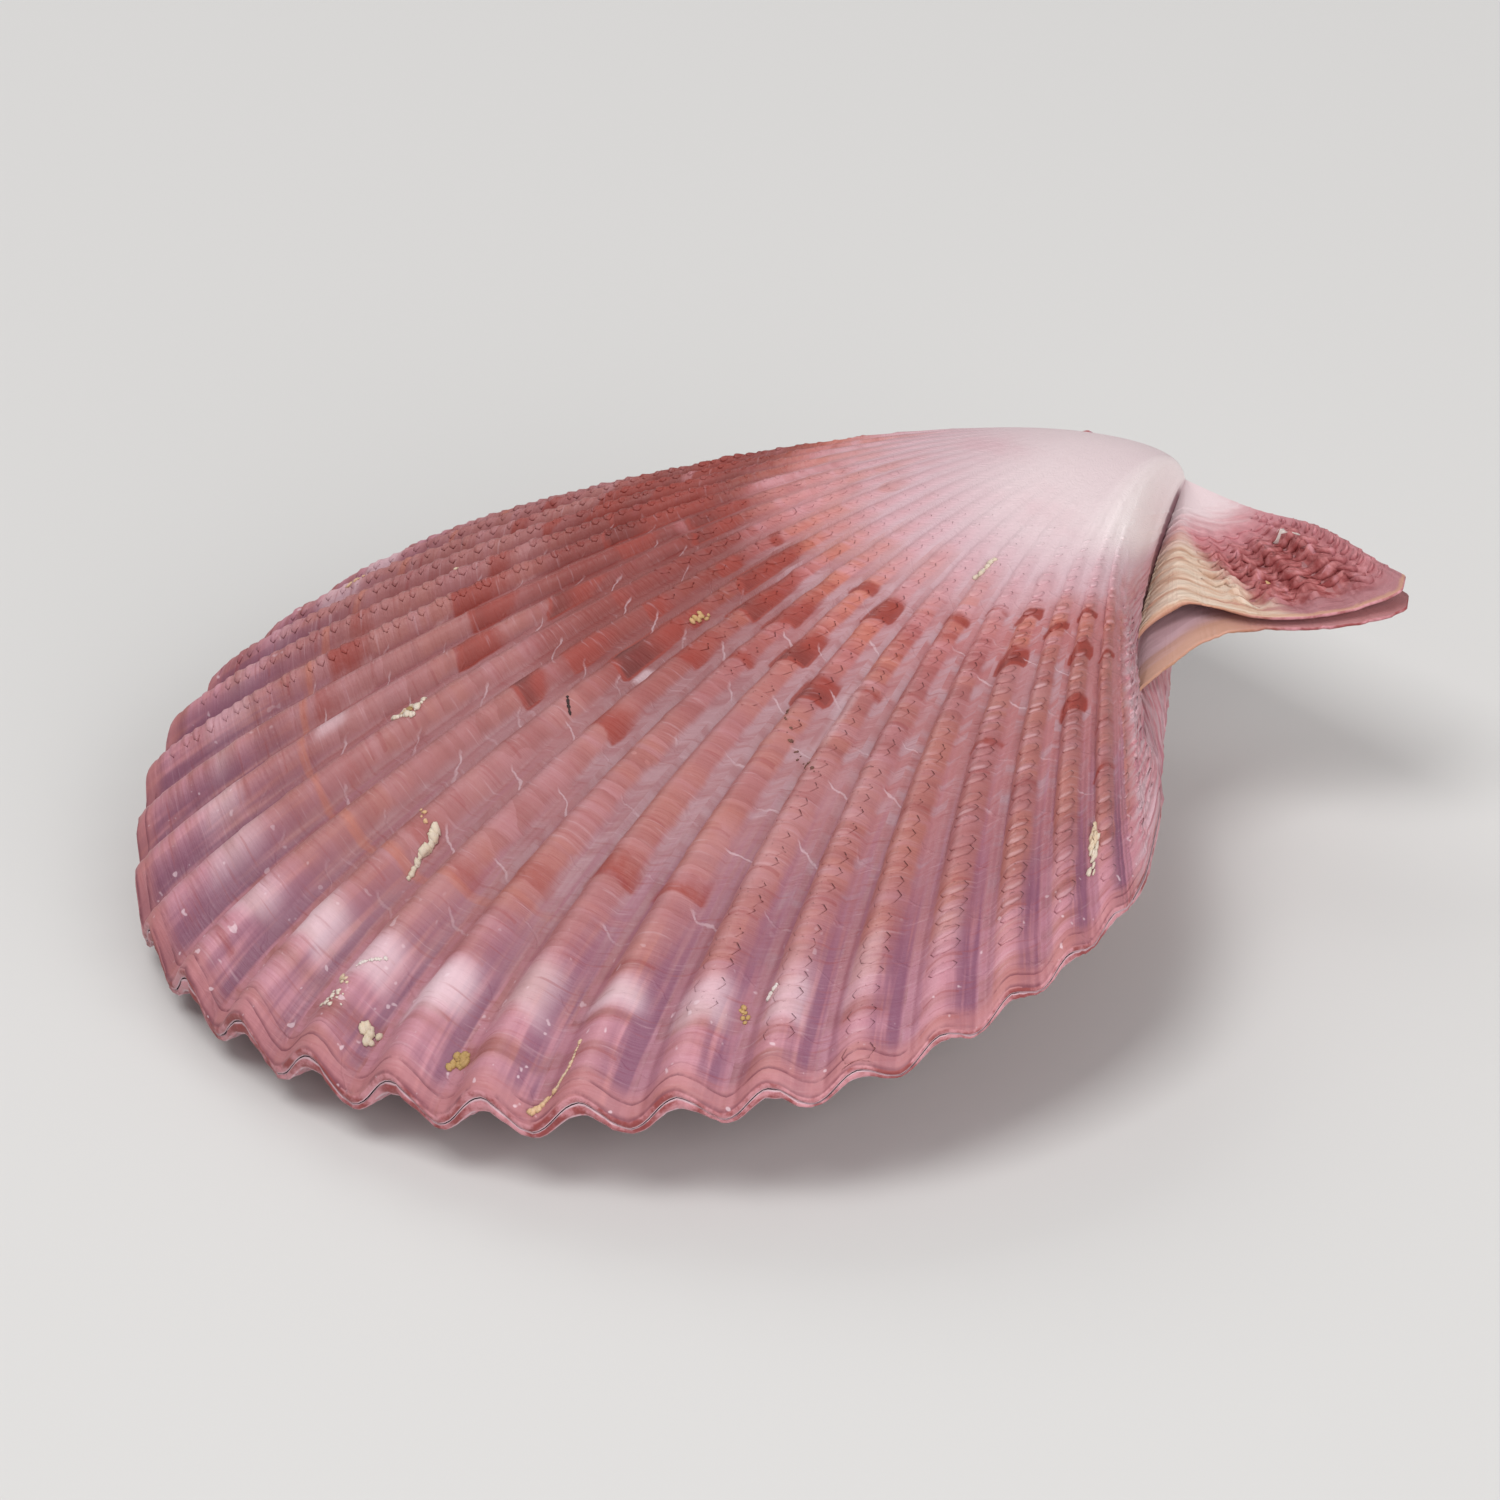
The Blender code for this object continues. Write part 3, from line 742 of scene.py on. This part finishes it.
def sideColour(m, s, base):
    # thin layers in pink, lilac and mauve
    layers = m.noise(m.vector(s.rib * 1.2, s.stage * 60.0, 12.0), 1.0, 3.0)
    sides = m.coats(
        "pink",
        (m.between(layers, 0.40, 0.62), "lilac"),
        (m.between(layers, 0.46, 0.36) * 0.5, "mauve"))
    return m.blend(m.between(m.size(s.rib), 11.1, 11.9) * m.between(s.stage, 0.36, 0.60) * 0.85, base, sides)


def earColour(m, s, base):
    # the near ear: white by the umbo, a cream band beside the notch, then red scaly riblets
    band = m.coats(
        "ivory",
        (m.between(s.lines, 0.40, 0.66) * 0.75, "tan"),
        (m.between(s.lines, 0.60, 0.72) * 0.5, "rose"),
        (m.between(m.stir(s.stage, s.lines, 0.2), 0.62, 0.36) * 0.8, "blush"))
    red = m.coats(
        "brick",
        (m.between(s.scaly, 0.36, 0.60), "rose"),
        (m.between(s.scaly, 0.56, 0.70) * 0.8, "pink"),
        (m.between(s.rib, 18.8, 19.8) * 0.5, "pink"),
        (m.between(m.stir(s.stage, s.scaly, 0.14), 0.86, 0.95) * 0.80, "dusk"),
        (m.between(m.stir(s.stage, s.lines, 0.3), 0.62, 0.42) * 0.75, "pink"))
    pastBand = m.between(m.stir(s.rib - s.stage * s.stage * 2.3, s.lines, 0.9), 15.0, 15.8)
    nearEar = m.coats(
        m.blend(pastBand, band, red),
        (m.between(m.stir(s.stage, s.lines, 0.2) + (s.rib - 17.0) * 0.02, 0.44, 0.20), "cream"),
        (m.between(m.stir(s.stage, s.scaly, 0.03), 0.982, 0.996) * 0.7, "tan"))
    farEar = m.blend(m.between(s.scaly, 0.4, 0.6), "rose", "mauve")
    farEar = m.blend(m.between(s.stage, 0.3, 0.7), "lilac", farEar)
    # painted shade: a thin dark line in the crease where the body's shoulder overhangs the ear
    creviceShade = m.between(m.size(s.rib - 13.98), 0.22, 0.06) * m.between(s.stage, 0.04, 0.12)
    return m.coats(
        base,
        (m.between(s.rib, 13.75, 14.0), nearEar),
        (creviceShade * 0.85, "plum"),
        (m.between(s.rib, -13.75, -14.1), farEar))


def insideColour(m, s, base):
    rim = m.coats(
        "pink",
        (m.between(s.mottle, 0.40, 0.60), "brick"),
        (m.between(s.rib, 12.6, 13.4) * m.between(s.rib, 17.6, 16.4) * 0.8, "tan"))
    tanEdge = m.between(m.stir(s.stage, s.lines, 0.12), 0.84, 0.95)
    tanEdge = tanEdge * m.between(m.stir(s.rib, s.lines), 17.6, 16.2)
    earLining = m.coats(
        "lilac",
        (m.between(m.stir(s.rib, s.cloud), 15.6, 17.0), "flesh"),
        (0.25 + m.between(s.lines, 0.40, 0.62) * 0.25, "haze"),
        (m.between(s.stage, 0.80, 0.55) * 0.7, "dusk"),
        (tanEdge * 0.75, "tan"))
    lining = m.blend(m.between(s.rib, 13.0, 13.6), "lilac", earLining)
    return m.coats(base, (m.between(s.within, 0.05, 0.25), rim), (m.between(s.within, 0.80, 0.95), lining))


def valveFinish(valve):
    m = Finish(valve + "Shell")
    s = growthFields(m)
    thread = threadLines(m, s)
    grown = m.stir(m.stir(s.zone, s.perRib, 0.16), s.bands, 0.08) + s.space * 0.02
    base = m.blend(m.between(grown, 0.25, 0.42), umboColour(m, s), fanColour(m, s))
    base = markings(m, s, base, thread)
    base = marginColour(m, s, valve, base)
    base = sideColour(m, s, base)
    base = earColour(m, s, base)
    base = insideColour(m, s, base)

    riblets = m.sine(s.rib * (2 * math.pi * valveLook["ribletsPerRib"])) * m.between(s.groove, 0.35, 0.8)
    riblets = riblets * m.between(s.stage, 0.6, 0.85)
    rings = m.noise(m.vector(s.rib * 2.0, s.stage * 330.0 + s.groove * 3.0, 3.0), 1.0, 3.0)
    pores = m.noise(s.here, valveLook["poreScale"], 2.0)
    height = riblets * 0.25 + rings * 0.9 + pores * 0.35 + s.mottle * 0.5 + thread * s.space * 0.4
    bump = {"Height": height, "Strength": valveLook["bump"], "Distance": valveLook["bumpDepth"]}
    rough = valveLook["roughness"] + s.mottle * valveLook["unevenness"] + m.between(s.stain, 0.2, 0.8) * 0.05
    m.plug(m.shader.inputs["Base Color"], base)
    m.plug(m.shader.inputs["Roughness"], rough)
    m.plug(m.shader.inputs["Normal"], m.node("ShaderNodeBump", {}, bump))
    m.shader.inputs["IOR"].default_value = valveLook["ior"]
    print(valve, "finish:", len(m.tree.nodes), "nodes")
    return m.made


def addObject(name, data):
    made = bpy.data.objects.new(name, data)
    bpy.context.scene.collection.objects.link(made)
    return made


def makeBall(segments, rings):
    # a small ball and its points
    bm = bmesh.new()
    bmesh.ops.create_uvsphere(bm, u_segments=segments, v_segments=rings, radius=1.0)
    ball = bpy.data.meshes.new("ball")
    bm.to_mesh(ball)
    bm.free()
    return ball, np.array([tuple(v.co) for v in ball.vertices])


def bendBalls(name, ball, points):
    # one mesh of as many balls as there are points for
    bm = bmesh.new()
    for i in range(points.size // (3 * len(ball.vertices))):
        bm.from_mesh(ball)
    bpy.data.meshes.remove(ball)
    mesh = bpy.data.meshes.new(name)
    bm.to_mesh(mesh)
    bm.free()
    mesh.vertices.foreach_set("co", points.ravel())
    mesh.shade_smooth()
    return mesh


# small arched scales in rows: valve, rib, stages, spacing in millimetres, half width in ribs,
# length and rise in millimetres, paleness of the lips, partly painted highlight
scaleRows = []
for crest in range(-5, 4):
    scaleRows.append(("upper", crest + 0.5, 0.27, 0.57 + 0.02 * crest, 1.35, 0.24, 1.50, 0.09, 0.10))
for crest in range(4, 7):
    scaleRows.append(("upper", crest + 0.5, 0.30, 0.74 + 0.05 * crest, 1.25, 0.20, 1.30, 0.09, 0.25))
for crest in range(7, 11):
    scaleRows.append(("upper", crest + 0.5, 0.34, 0.975, 1.15, 0.22, 1.05, 0.24, 0.45))
for crest in range(-11, -5):
    scaleRows.append(("upper", crest + 0.5, 0.35, 0.985, 0.95, 0.17, 0.80, 0.17, 0.10))
for riblet in range(5):
    rib, start = 16.45 + 0.62 * riblet, 0.46 - 0.01 * riblet
    scaleRows.append(("upper", rib, start, 0.93, 1.20, 0.42, 1.20, 0.62, 0.75))
scaleRows.append(("upper", 19.30, 0.36, 0.95, 0.95, 0.26, 0.9, 1.00, 0.5))
scaleRows.append(("upper", 19.70, 0.34, 0.96, 0.80, 0.18, 0.6, 0.60, 0.3))
scaleRows.append(("upper", 14.2, 0.45, 0.97, 0.65, 0.12, 0.45, 0.20, 0.8))
for crest in (11.25, 11.8, 12.35, 12.9):
    scaleRows.append(("upper", crest, 0.50, 0.97, 1.0, 0.14, 0.8, 0.16, 0.4))
    scaleRows.append(("lower", crest - 0.4, 0.40, 0.97, 1.0, 0.16, 0.8, 0.20, 0.3))
for groove in range(-10, 11):
    scaleRows.append(("lower", float(groove), 0.78, 0.985, 1.3, 0.14, 0.9, 0.20, 0.1))


stageRange = (0.01, 0.998)  # where the points of scales and crusts may lie


def makeScales(valve, material):
    scale, shape = makeBall(8, 6)
    across, ahead, up = shape.T
    placed = []
    for number, (owner, crest, start, end, gap, width, length, rise, pale) in enumerate(scaleRows):
        if owner != valve:
            continue
        reach = through(outlines[valve], 2, np.array([crest]))[0] * shell["height"] / mm
        order = np.arange(int((end - start) * reach / gap))
        row = np.full(len(order), number)
        stages = start + (order + 0.30 * grain(order * 1.7 + 0.5, row, 31)) * gap / reach
        ribs = crest + 0.16 * width * grain(order * 0.9, row + 0.5, 32)
        sizes = 0.80 + 0.30 * grain(order * 2.3 + 0.2, row + 0.3, 33)
        sizes *= 0.45 + 0.55 * ease(start, start + 0.30 * (end - start), stages)
        lips = pale * np.clip(0.5 + 1.2 * grain(order * 3.1 + 0.7, row + 0.1, 34), 0, 1)
        widths = width * (0.7 + 0.3 * sizes)
        placed.append(np.stack([ribs, stages, widths, length * sizes / reach, rise * sizes, lips]))
    ribs, stages, widths, lengths, rises, lips = (field[:, None] for field in np.concatenate(placed, 1))
    # each scale follows the skin, lifts toward its front, leans over there, and trails at its sides
    front = ease(-0.6, 0.8, ahead)
    rib = ribs + across * widths
    forward = ahead * 0.5 + 0.05 * np.maximum(up, 0) - 0.30 * across ** 2
    stage = np.clip(stages + forward * lengths, *stageRange)
    lift = rises * mm * np.where(up > 0, up * (0.30 + 0.70 * front), 0.6 * up)
    mesh = bendBalls(valve + "Scales", scale, lay(skin(valve, rib, stage, lift)[0]))
    # pale lips, partly painted highlight: paler toward the top of each scale's front
    pale = lips * ease(0.25, 0.75, front) * ease(0.1, 0.7, up)
    setFields(mesh, valve, rib.ravel(), stage.ravel(), np.zeros(rib.size), pale.ravel())
    mesh.update()
    mesh.materials.append(material)
    piece = addObject(valve + "Scales", mesh)
    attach(piece, "root")
    print(valve, "scales:", len(mesh.polygons), "faces")


# what has settled on the upper valve: path of ribs and stages, spread and size in millimetres, number, tone
crusts = [
    ([(0.88, 0.960)], 0.75, 0.26, 16, 0.25), ([(2.02, 0.962)], 0.65, 0.26, 18, 0.62),
    ([(3.30, 0.949), (3.30, 0.971), (3.22, 0.984)], 0.03, 0.13, 22, 0.35),
    ([(3.22, 0.984), (3.06, 0.990), (2.96, 0.993)], 0.14, 0.22, 14, 0.42),
    ([(0.44, 0.930), (0.66, 0.911)], 0.03, 0.14, 14, 0.05), ([(0.44, 0.957)], 0.95, 0.15, 16, 0.15),
    ([(0.30, 0.936), (0.46, 0.945)], 0.30, 0.16, 9, 0.30),
    ([(-3.05, 0.728), (-2.95, 0.745), (-2.60, 0.748), (-2.42, 0.734), (-2.60, 0.719), (-2.95, 0.719)],
     0.10, 0.26, 30, 0.18),
    ([(-2.95, 0.733), (-2.52, 0.733)], 0.30, 0.22, 12, 0.72), ([(-2.74, 0.733)], 0.80, 0.20, 70, 0.33),
    ([(-0.30, 0.790), (-0.22, 0.802), (-0.20, 0.817), (-0.12, 0.834)], 0.10, 0.26, 24, 0.22),
    ([(-0.55, 0.786), (-0.40, 0.796)], 0.35, 0.14, 7, 0.45),
    ([(-0.48, 0.638), (-0.26, 0.647)], 0.02, 0.12, 12, 1.00),
    ([(-0.32, 0.514), (-0.22, 0.501)], 0.28, 0.20, 12, 0.55),
    ([(3.26, 0.592), (3.68, 0.624), (4.02, 0.645), (4.60, 0.679)], 0.35, 0.11, 18, 0.85),
    ([(5.12, 0.390), (5.24, 0.378), (5.36, 0.362)], 0.18, 0.22, 16, 0.22),
    ([(10.18, 0.882), (10.18, 0.900), (10.06, 0.922)], 0.55, 0.25, 34, 0.20),
    ([(10.18, 0.872), (10.18, 0.890)], 0.50, 0.30, 26, 0.30), ([(10.18, 0.884)], 0.30, 0.26, 8, 0.50),
    ([(5.20, 0.914), (5.34, 0.908)], 0.22, 0.18, 9, 0.05),
    ([(4.90, 0.914), (5.00, 0.926)], 0.22, 0.20, 9, 0.60),
    ([(18.85, 0.540), (19.10, 0.590)], 0.20, 0.30, 12, 0.05),
    ([(17.60, 0.80), (17.90, 0.84)], 0.20, 0.18, 7, 0.55),
    ([(-6.60, 0.700)], 0.30, 0.18, 6, 0.30), ([(-8.50, 0.880), (-8.40, 0.900)], 0.20, 0.16, 7, 0.40),
]


crustLook = {
    "pitch": math.radians(4.4),  # angle of one rib
    "speckleScale": 3000.0,
    "speckle": 0.25,
    "bump": 0.5,
    "bumpDepth": 0.1 * mm,
    "roughness": 0.75,
    "tones": [(0.0, (0.62, 0.55, 0.54)), (0.25, (0.60, 0.50, 0.38)), (0.45, (0.58, 0.36, 0.20)),
              (0.65, (0.42, 0.27, 0.09)), (0.85, (0.16, 0.07, 0.05)), (1.0, (0.03, 0.015, 0.015))],
}


def crustFinish():
    # tones from grey-white through ochre and brown to nearly black
    m = Finish("crust")
    here = m.node("ShaderNodeTexCoord", {}, {}, "Object")
    speckle = m.noise(here, crustLook["speckleScale"], 3.0)
    tone = m.stir(m.field("tone"), speckle, crustLook["speckle"])
    colour = m.node("ShaderNodeValToRGB", {"stops": crustLook["tones"]}, {"Fac": tone})
    bump = {"Height": speckle, "Strength": crustLook["bump"], "Distance": crustLook["bumpDepth"]}
    m.plug(m.shader.inputs["Base Color"], colour)
    m.plug(m.shader.inputs["Normal"], m.node("ShaderNodeBump", {}, bump))
    m.shader.inputs["Roughness"].default_value = crustLook["roughness"]
    return m.made


def makeCrusts():
    lump, shape = makeBall(7, 5)
    sheets, tones = [], []
    for number, (path, spread, size, count, tone) in enumerate(crusts):
        path = np.array(path)
        order = np.arange(count)
        row = np.full(count, number)
        at = (order + 0.5) / count * (len(path) - 1)
        middle = np.stack([np.interp(at, np.arange(len(path)), path[:, k]) for k in (0, 1)], 1)
        reach = through(outlines["upper"], 2, middle[:, 0]) * shell["height"] / mm
        pitch = middle[:, 1] * reach * crustLook["pitch"]
        aside = grain(order * 1.9 + 0.5, row + 0.3, 41) / pitch
        ahead = grain(order * 2.7 + 0.5, row + 0.6, 42) / reach
        middle = middle + np.stack([aside, ahead], 1) * spread
        sizes = size * (0.75 + 0.45 * grain(order * 1.3 + 0.4, row, 43))
        for i in range(count):
            knobbly = shape * (1 + 0.25 * grain(shape[:, :1] * 2.3 + i, shape[:, 1:2] * 2.3 + number, 44))
            rib = middle[i, 0] + knobbly[:, 0] * sizes[i] / pitch[i]
            stage = np.clip(middle[i, 1] + knobbly[:, 1] * sizes[i] / reach[i], *stageRange)
            sheets.append(skin("upper", rib, stage, (knobbly[:, 2] * 0.75 + 0.25) * sizes[i] * mm)[0])
            tones.append(np.full(len(shape), tone, np.float32))
    mesh = bendBalls("crusts", lump, lay(np.concatenate(sheets)))
    mesh.attributes.new("tone", "FLOAT", "POINT").data.foreach_set("value", np.concatenate(tones))
    mesh.update()
    mesh.materials.append(crustFinish())
    piece = addObject("crusts", mesh)
    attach(piece, "root")
    print("crusts:", len(mesh.polygons), "faces")


def makeValves():
    grown = {valve: growValve(valve, valve + "Valve") for valve in ("upper", "lower")}
    wearFlat(grown["lower"][1])
    for valve, (mesh, bm) in grown.items():
        bm.to_mesh(mesh)
        bm.free()
        mesh.shade_smooth()
        mesh.set_sharp_from_angle(angle=math.radians(60))
        material = valveFinish(valve)
        mesh.materials.append(material)
        piece = addObject(valve + "Valve", mesh)
        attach(piece, "root")
        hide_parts(valve + "_valve")
        makeScales(valve, material)
        print(valve, "valve grown:", len(mesh.polygons), "faces")


photoCamera = {
    "place": (325.38 * mm, -245.20 * mm, 259.75 * mm),
    "right": (0.62490466, 0.7577796, -0.18778776),
    "up": (-0.33487443, 0.47746236, 0.8123354),
    "back": (0.70523278, -0.44474686, 0.55212947),
    "lens": 166.2,
    "sensor": 36.0,
    "shift": (0.00827, -0.03237),
    "clip": (0.01, 20.0),
}


def makeCamera():
    data = bpy.data.cameras.new("photoCamera")
    data.lens = photoCamera["lens"]
    data.sensor_width = photoCamera["sensor"]
    data.shift_x, data.shift_y = photoCamera["shift"]
    data.clip_start, data.clip_end = photoCamera["clip"]
    camera = addObject("photoCamera", data)
    turn = Matrix([photoCamera["right"], photoCamera["up"], photoCamera["back"]]).transposed()
    spot = shell["lie"] @ Vector(photoCamera["place"]) + shell["umbo"]
    camera.matrix_world = Matrix.Translation(spot) @ (shell["lie"] @ turn).to_4x4()
    bpy.context.scene.camera = camera


studio = {
    "floor": 4.0,
    "floorColour": (0.62, 0.61, 0.60, 1.0),
    "floorRoughness": 0.9,
    "worldColour": (1.0, 1.0, 1.0, 1.0),
    "world": 0.32,
    "aim": Vector((0.0, 0.0, 0.012)),
    # name, place, size, power
    "lights": [
        ("keyLight", (0.05, -0.40, 0.95), 0.50, 6.0),
        ("fillLight", (0.95, -0.12, 0.42), 0.80, 7.8),
        ("backLight", (-0.80, 0.20, 0.70), 0.60, 2.5),
    ],
}


def makeStudio():
    bm = bmesh.new()
    bmesh.ops.create_grid(bm, x_segments=1, y_segments=1, size=studio["floor"] / 2)
    mesh = bpy.data.meshes.new("floor")
    bm.to_mesh(mesh)
    bm.free()
    floor = addObject("floor", mesh)
    m = Finish("paleFloor")
    m.shader.inputs["Base Color"].default_value = studio["floorColour"]
    m.shader.inputs["Roughness"].default_value = studio["floorRoughness"]
    mesh.materials.append(m.made)
    world = bpy.data.worlds.new("softRoom")
    world.use_nodes = True
    background = world.node_tree.nodes["Background"]
    background.inputs["Color"].default_value = studio["worldColour"]
    background.inputs["Strength"].default_value = studio["world"]
    bpy.context.scene.world = world
    for name, spot, size, power in studio["lights"]:
        data = bpy.data.lights.new(name, "AREA")
        data.energy = power
        data.size = size
        lamp = addObject(name, data)
        lamp.location = spot
        lamp.rotation_euler = (Vector(spot) - studio["aim"]).to_track_quat("Z", "Y").to_euler()
    bpy.context.scene.view_settings.view_transform = "Standard"
    print("studio:", len(studio["lights"]), "lights")


makeValves()
makeCrusts()
makeCamera()
makeStudio()
